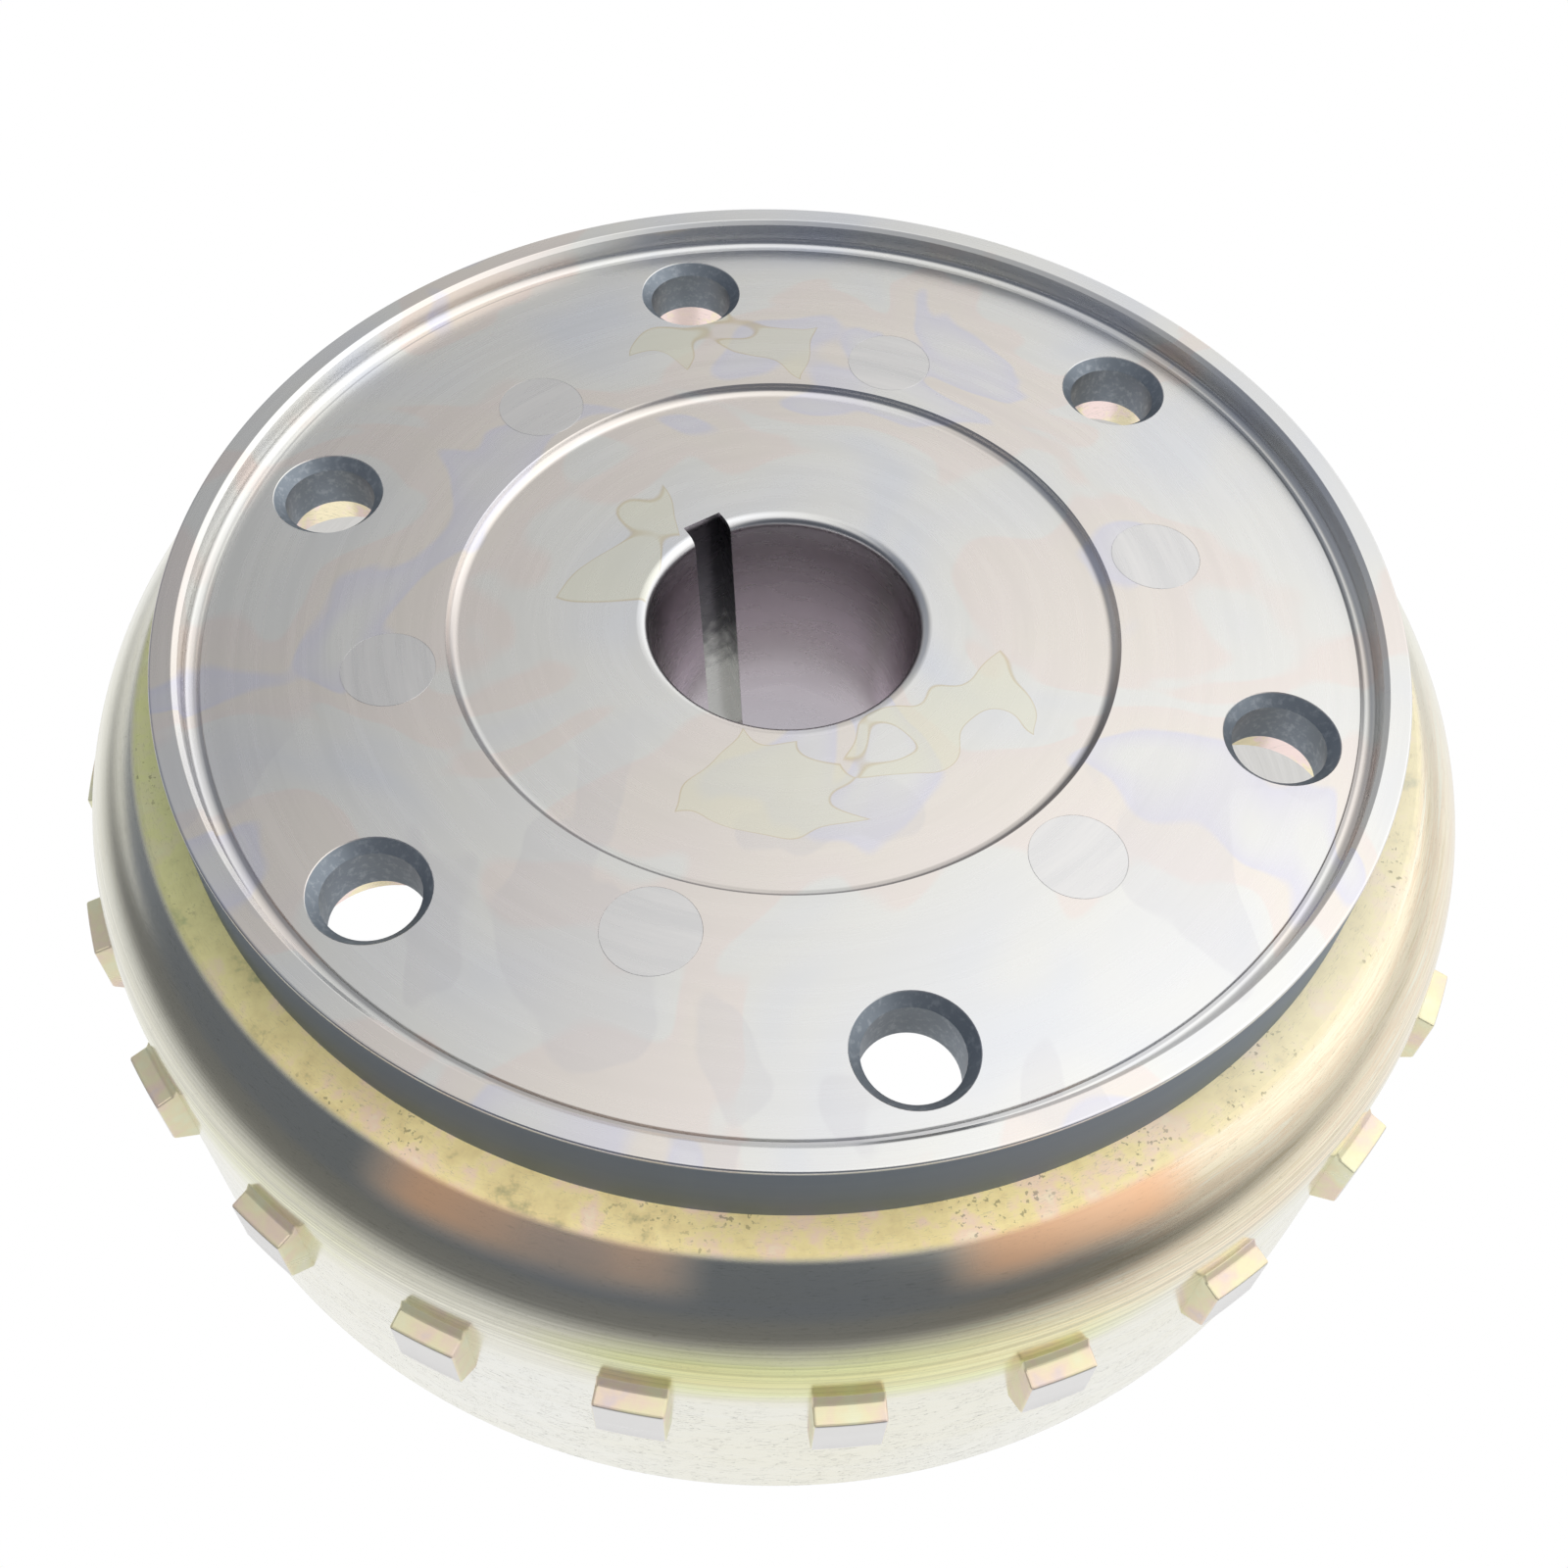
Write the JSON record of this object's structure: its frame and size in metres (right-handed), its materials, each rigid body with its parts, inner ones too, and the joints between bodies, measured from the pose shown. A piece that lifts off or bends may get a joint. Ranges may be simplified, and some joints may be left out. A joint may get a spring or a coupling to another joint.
{
  "type": "magneto flywheel",
  "caption": "Engine magneto flywheel: a plated steel cup with timing lugs outside and magnets inside, riveted to a machined hub with a tapered bore and a bolted starter-clutch face.",
  "frame": {"origin": "on the crankshaft axis, in the plane of the cup's open edge", "axes": "+Z along the crankshaft axis from the open edge to the hub's face; +X and +Y are set by the view, with the first timing lug 7.06 degrees from +X and the keyway at 125.5 degrees"},
  "size_m": [0.1346, 0.1346, 0.048],
  "materials": {
    "zinc_plated_cup": "yellow chromate over zinc, iridescent, lug tops turned bare",
    "turned_steel": "bare steel with fine circular turning marks and a film of oil",
    "rivet_steel": "bare steel, upset ends turned flush with the face",
    "magnet": "dark sintered magnet, matte",
    "cage_plastic": "natural nylon, satin",
    "stainless_cover": "thin bright stainless sheet",
    "potting_resin": "dark amber potting resin, glossy"
  },
  "bodies": {
    "root": {"cup": "zinc_plated_cup", "hub": "turned_steel", "rivets": "rivet_steel", "magnet_cage": "cage_plastic", "magnet_cover": "stainless_cover", "resin_seal": "potting_resin", "resin_bed": "potting_resin", "magnet_01": "magnet", "magnet_02": "magnet", "magnet_03": "magnet", "magnet_04": "magnet", "magnet_05": "magnet", "magnet_06": "magnet", "magnet_07": "magnet", "magnet_08": "magnet", "magnet_09": "magnet", "magnet_10": "magnet", "magnet_11": "magnet", "magnet_12": "magnet"}
  },
  "joints": []
}
